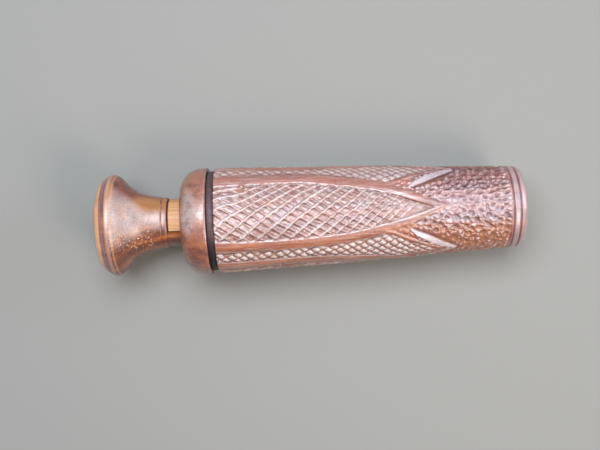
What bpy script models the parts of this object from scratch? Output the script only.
"""Hand-carved wooden duck call, lying on its side.

The long turned barrel holds a friction-fitted insert whose flared bell stands out of one end. The
insert's tenon is half a cylinder: its flat is the tone board, a thin metal reed lies along it, and
a half-round wedge block holds the reed's root. A dark ring sits in a turned groove behind the
barrel's domed collar.

Frame: +X along the call from the bell to the mouth end, +Z up, origin on the table under the
middle of the call.
"""

import math

import bmesh
import bpy
from mathutils import Matrix, Vector

MM = 0.001

# Dimensions are in millimetres. X runs along the call, radii are from its axis.
STEPS = 48  # facets round a turned piece; flats face along its frame's Y and Z
END_X = 75.15  # both ends of the call are this far from its middle
AXIS_HEIGHT = 19.14  # also the collar's largest radius, so the collar rests on the table
SHARP_ANGLE = math.radians(35)  # edges bent more than this are shaded sharp

# Barrel
COLLAR_X = -45.92  # barrel's face at the insert end
SEAT_RADIUS = 8.75  # bore that holds the tenon
SEAT_END_X = 22.5
AIR_RADIUS = 7.9  # bore on to the mouth

# Ring and its groove
GROOVE_X0, GROOVE_X1 = -36.2, -33.65
GROOVE_FLOOR_RADIUS = 16.45
RING_OUTER_RADIUS = 17.6
RING_GAP = 0.15  # clearance to the groove's walls and floor
RING_CHAMFER_X, RING_CHAMFER_RADIAL = 0.3, 0.2

# Insert
TENON_RADIUS, TENON_TIP_RADIUS = 8.6, 8.45
SHOULDER_X = -51.05  # where the neck's bead ends and the tenon begins
TIP_X = 8.0  # end of the tone board
EXHAUST_RADIUS = 4.0
EXHAUST_END_X = -49.0
TROUGH_RADIUS = 3.2
TROUGH_DROP = 2.4  # from the call's axis to the trough's, into the tenon
TROUGH_OVERLAP = 1.5  # how far the trough's cutter reaches back into the exhaust bore
TROUGH_OVERRUN = 3.0  # and on past the tip

# Split between the tone board and the wedge block
SPLIT_TILT = math.radians(-66.4)  # about X, from +Z to the normal of the tone board's flat
HALF_GAP = 0.35  # from the split to the tone board, and to the wedge block
CLAMP_X = -26.0  # wedge block's +X end: the reed is held up to here and free beyond

# Tone board's cutter
BOARD_RADIUS = 320.0  # the tone board falls away from the reed on this radius
BOARD_STEPS = 10  # straight runs along the falling part
BOARD_SHOULDER_GAP = 0.02  # keeps the cutter clear of the shoulder's face
BOARD_OVERRUN = 2.0  # past the tip
BOARD_CUTTER_TOP = 14.0
BOARD_CUTTER_WIDTH = 26.0

# Wedge block
WEDGE_X0 = -50.65
WEDGE_RADIUS = 8.5
WEDGE_BEVEL = 0.3
WEDGE_BEVEL_ANGLE = math.radians(40)  # edges bent more than this are bevelled
WEDGE_CUTTER_OVERRUN = 5.0  # past each end
WEDGE_CUTTER_REACH = 12.0  # to each side and down

# Reed
REED_ROOT_X, REED_TIP_X = -48.0, 5.0
REED_HALF_WIDTH = 6.0
REED_THICKNESS = 0.4
REED_HALF_CUT = 0.15  # half of the gap at the line where the reed bends
REED_CORNER_RADIUS = 4.0
REED_CORNER_STEPS = 6

# Turned profiles: (x, radius to the middle of a facet)
BARREL_OUTSIDE = [
    # End face and domed collar
    (COLLAR_X, 9.6), (COLLAR_X, 11.3), (-45.84, 13.0), (-45.4, 14.6), (-44.5, 16.0),
    (-43.2, 17.35), (-41.6, 18.25), (-39.9, 18.8), (-38.3, 19.08), (-36.95, AXIS_HEIGHT),
    (-36.35, 19.0), (GROOVE_X0, 18.75),
    # Ring's groove
    (GROOVE_X0, GROOVE_FLOOR_RADIUS), (GROOVE_X1, GROOVE_FLOOR_RADIUS),
    # Long taper
    (GROOVE_X1, 18.6), (-33.4, 18.8), (-32.0, 18.96), (-28.7, 18.96), (-22.2, 18.8),
    (-11.3, 18.4), (-4.0, 18.12), (10.5, 17.7), (17.7, 17.35), (32.2, 16.65), (46.8, 15.9),
    (61.3, 15.25),
    # Two fine grooves, then the rounded mouth end
    (69.6, 14.78), (70.05, 14.22), (70.5, 14.74),
    (72.05, 14.58), (72.5, 13.98), (72.95, 14.44),
    (73.6, 14.26), (74.3, 13.84), (74.85, 13.25), (END_X, 12.5),
]
BARREL_INSIDE = [
    (END_X, 9.3), (74.2, 8.3), (72.5, AIR_RADIUS), (24.0, AIR_RADIUS),
    (SEAT_END_X, SEAT_RADIUS), (-45.0, SEAT_RADIUS),
]
INSERT_PROFILE = [
    # Exhaust bore and the inside of the bell
    (EXHAUST_END_X, 0.0), (EXHAUST_END_X, EXHAUST_RADIUS), (-70.5, EXHAUST_RADIUS),
    (-71.5, 5.2), (-72.8, 8.5), (-73.9, 11.5), (-74.8, 13.4), (-END_X, 14.1),
    # Rim and the outside of the bell
    (-END_X, 15.3), (-74.95, 16.1), (-74.4, 16.68), (-73.6, 16.5), (-72.3, 17.6),
    (-71.3, 18.15), (-70.3, 18.3), (-69.4, 18.12), (-68.6, 17.72), (-67.6, 16.95),
    (-66.2, 15.45), (-64.8, 13.85), (-63.4, 12.6), (-62.0, 11.65), (-60.5, 10.95),
    # Neck, a fine groove and the bead
    (-59.0, 10.45), (-57.5, 10.06), (-56.0, 9.72), (-54.5, 9.46), (-53.3, 9.3),
    (-52.95, 9.0), (-52.6, 9.2), (-51.5, 9.02), (SHOULDER_X, 8.78),
    # Tenon
    (SHOULDER_X, TENON_RADIUS), (TIP_X - 0.5, TENON_TIP_RADIUS), (TIP_X, 7.95), (TIP_X, 0.0),
]


def clear_scene():
    for obj in list(bpy.data.objects):
        bpy.data.objects.remove(obj, do_unlink=True)


def collection(name):
    made = bpy.data.collections.new(name)
    bpy.context.scene.collection.children.link(made)
    return made


def material(name, colour, roughness, metallic=0.0):
    mat = bpy.data.materials.new(name)
    mat.use_nodes = True
    shader = mat.node_tree.nodes["Principled BSDF"]
    shader.inputs["Base Color"].default_value = (*colour, 1.0)
    shader.inputs["Roughness"].default_value = roughness
    shader.inputs["Metallic"].default_value = metallic
    mat.diffuse_color = (*colour, 1.0)
    return mat


def frame(name, group, parent=None):
    """An empty that pieces are placed in."""
    empty = bpy.data.objects.new(name, None)
    empty.parent = parent
    group.objects.link(empty)
    return empty


def place(obj, group, parent, mat):
    group.objects.link(obj)
    obj.parent = parent
    obj.data.materials.append(mat)
    return obj


def cut(obj, cutter, cutters):
    """Takes the cutter's volume out of the object, in the frame of the object's parent."""
    cutters.objects.link(cutter)
    cutter.parent = obj.parent
    cutter.hide_render = True
    cutter.display_type = "WIRE"
    boolean = obj.modifiers.new(cutter.name, "BOOLEAN")
    boolean.operation = "DIFFERENCE"
    boolean.object = cutter


def mesh_object(name, shape):
    """Turns a bmesh into an object and frees it."""
    mesh = bpy.data.meshes.new(name)
    shape.to_mesh(mesh)
    shape.free()
    return bpy.data.objects.new(name, mesh)


def turned(name, profile, closed=True):
    """A piece turned about its local X axis; an open profile starts and ends on the axis."""
    mesh = bpy.data.meshes.new(name)
    # Each point is moved to a facet's corner, level with the middle of that facet.
    half_facet = math.tan(math.pi / STEPS)
    points = [(x * MM, -radius * half_facet * MM, radius * MM) for x, radius in profile]
    edges = [(i, i + 1) for i in range(len(points) - 1)]
    if closed:
        edges.append((len(points) - 1, 0))
    mesh.from_pydata(points, edges, [])
    obj = bpy.data.objects.new(name, mesh)
    screw = obj.modifiers.new("turn", "SCREW")
    screw.axis = "X"
    screw.steps = screw.render_steps = STEPS
    screw.use_normal_flip = True
    screw.use_merge_vertices = True
    screw.merge_threshold = 0.01 * MM
    return obj


def rod(name, radius, x0, x1, z=0.0, segments=40):
    """A cylinder along X, its axis at local height z and its radius to the corners."""
    shape = bmesh.new()
    middle = Vector(((x0 + x1) / 2 * MM, 0, z * MM))
    bmesh.ops.create_cone(
        shape,
        cap_ends=True,
        segments=segments,
        radius1=radius * MM,
        radius2=radius * MM,
        depth=(x1 - x0) * MM,
        matrix=Matrix.Translation(middle) @ Matrix.Rotation(math.pi / 2, 4, "Y"),
    )
    return mesh_object(name, shape)


def block(name, low, high):
    """A box between two corners."""
    shape = bmesh.new()
    size = [(b - a) * MM for a, b in zip(low, high)]
    middle = [(a + b) / 2 * MM for a, b in zip(low, high)]
    bmesh.ops.create_cube(
        shape,
        size=1.0,
        matrix=Matrix.Translation(Vector(middle)) @ Matrix.Diagonal((*size, 1.0)),
    )
    return mesh_object(name, shape)


def flat_shape(name, outline, thickness):
    """A closed mesh from an outline in local XY, with half its thickness to each side."""
    curve = bpy.data.curves.new(name, "CURVE")
    curve.dimensions = "2D"
    curve.fill_mode = "BOTH"
    curve.extrude = thickness / 2 * MM
    line = curve.splines.new("POLY")
    line.points.add(len(outline) - 1)
    for point, (x, y) in zip(line.points, outline):
        point.co = (x * MM, y * MM, 0.0, 1.0)
    line.use_cyclic_u = True
    holder = bpy.data.objects.new(name + "_outline", curve)
    bpy.context.scene.collection.objects.link(holder)
    bpy.context.view_layer.update()
    graph = bpy.context.evaluated_depsgraph_get()
    filled = bpy.data.meshes.new_from_object(holder.evaluated_get(graph))
    bpy.data.objects.remove(holder, do_unlink=True)

    # The curve's faces and sides come unjoined: weld them into one solid.
    shape = bmesh.new()
    shape.from_mesh(filled)
    bpy.data.meshes.remove(filled)
    bmesh.ops.remove_doubles(shape, verts=shape.verts, dist=0.005 * MM)
    bmesh.ops.recalc_face_normals(shape, faces=shape.faces)
    return mesh_object(name, shape)


def add_barrel(call, axis):
    walnut = material("carved_walnut", colour=(0.23, 0.085, 0.042), roughness=0.42)
    place(turned("barrel", BARREL_OUTSIDE + BARREL_INSIDE), call, axis, walnut)


def add_ring(call, axis):
    rubber = material("hard_rubber", colour=(0.045, 0.03, 0.033), roughness=0.6)
    x0 = GROOVE_X0 + RING_GAP
    x1 = GROOVE_X1 - RING_GAP
    inner = GROOVE_FLOOR_RADIUS + RING_GAP
    shoulder = RING_OUTER_RADIUS - RING_CHAMFER_RADIAL
    profile = [
        (x0, inner),
        (x0, shoulder),
        (x0 + RING_CHAMFER_X, RING_OUTER_RADIUS),
        (x1 - RING_CHAMFER_X, RING_OUTER_RADIUS),
        (x1, shoulder),
        (x1, inner),
    ]
    place(turned("groove_ring", profile), call, axis, rubber)


def above_tone_board():
    """Outline in (x, z) over the tone board: flat under the wedge, then falling on a radius."""
    start = SHOULDER_X + BOARD_SHOULDER_GAP
    end = TIP_X + BOARD_OVERRUN
    outline = [(start, BOARD_CUTTER_TOP), (start, -HALF_GAP), (CLAMP_X, -HALF_GAP)]
    for i in range(1, BOARD_STEPS + 1):
        run = (end - CLAMP_X) * i / BOARD_STEPS
        outline.append((CLAMP_X + run, -HALF_GAP - run * run / (2 * BOARD_RADIUS)))
    outline.append((end, BOARD_CUTTER_TOP))
    return outline


def add_insert(call, cutters, split):
    walnut = material("turned_walnut", colour=(0.27, 0.11, 0.05), roughness=0.34)
    insert = place(turned("insert", INSERT_PROFILE, closed=False), call, split, walnut)
    board = flat_shape("board_cutter", above_tone_board(), BOARD_CUTTER_WIDTH)
    board.rotation_euler.x = math.pi / 2  # stands the outline up in XZ
    cut(insert, board, cutters)
    trough = rod(
        "trough_cutter",
        TROUGH_RADIUS,
        EXHAUST_END_X - TROUGH_OVERLAP,
        TIP_X + TROUGH_OVERRUN,
        z=-TROUGH_DROP,
    )
    cut(insert, trough, cutters)


def add_wedge(call, cutters, split):
    cedar = material("cedar", colour=(0.62, 0.34, 0.14), roughness=0.5)
    whole = rod("wedge_block", WEDGE_RADIUS, WEDGE_X0, CLAMP_X, segments=STEPS)
    wedge = place(whole, call, split, cedar)
    reach = WEDGE_CUTTER_REACH
    under = block(
        "wedge_flat_cutter",
        low=(WEDGE_X0 - WEDGE_CUTTER_OVERRUN, -reach, -reach),
        high=(CLAMP_X + WEDGE_CUTTER_OVERRUN, reach, HALF_GAP),
    )
    cut(wedge, under, cutters)
    bevel = wedge.modifiers.new("edges", "BEVEL")
    bevel.width = WEDGE_BEVEL * MM
    bevel.segments = 1
    bevel.limit_method = "ANGLE"
    bevel.angle_limit = WEDGE_BEVEL_ANGLE


def tongue_outline(x0, x1):
    """The reed's free part, square at x0 and with rounded corners at x1."""
    outline = [(x0, REED_HALF_WIDTH), (x0, -REED_HALF_WIDTH)]
    radius = REED_CORNER_RADIUS
    inset = REED_HALF_WIDTH - radius
    for centre_y, start in ((-inset, -90), (inset, 0)):
        for i in range(REED_CORNER_STEPS + 1):
            angle = math.radians(start + 90 / REED_CORNER_STEPS * i)
            x = x1 - radius + radius * math.cos(angle)
            outline.append((x, centre_y + radius * math.sin(angle)))
    return outline


def add_reed(call, split):
    brass = material("reed_brass", colour=(0.68, 0.47, 0.2), roughness=0.3, metallic=1.0)
    x0, x1 = REED_ROOT_X, CLAMP_X - REED_HALF_CUT
    y = REED_HALF_WIDTH
    root = flat_shape("reed_root", [(x0, -y), (x1, -y), (x1, y), (x0, y)], REED_THICKNESS)
    place(root, call, split, brass)
    # The free part's origin is on the line about which it bends, at the wedge block's end.
    outline = tongue_outline(REED_HALF_CUT, REED_TIP_X - CLAMP_X)
    tongue = flat_shape("reed_tongue", outline, REED_THICKNESS)
    tongue.location.x = CLAMP_X * MM
    place(tongue, call, split, brass)


def main():
    clear_scene()
    call = collection("duck_call")
    cutters = collection("cutters")

    axis = frame("call_axis", call)
    axis.location.z = AXIS_HEIGHT * MM
    # The insert's own frame: its local Z is square to the tone board.
    split = frame("insert_frame", call, parent=axis)
    split.rotation_euler.x = SPLIT_TILT

    add_barrel(call, axis)
    add_ring(call, axis)
    add_insert(call, cutters, split)
    add_wedge(call, cutters, split)
    add_reed(call, split)

    for obj in call.objects:
        if obj.type == "MESH":
            obj.data.shade_smooth()
            obj.data.set_sharp_from_angle(angle=SHARP_ANGLE)


main()
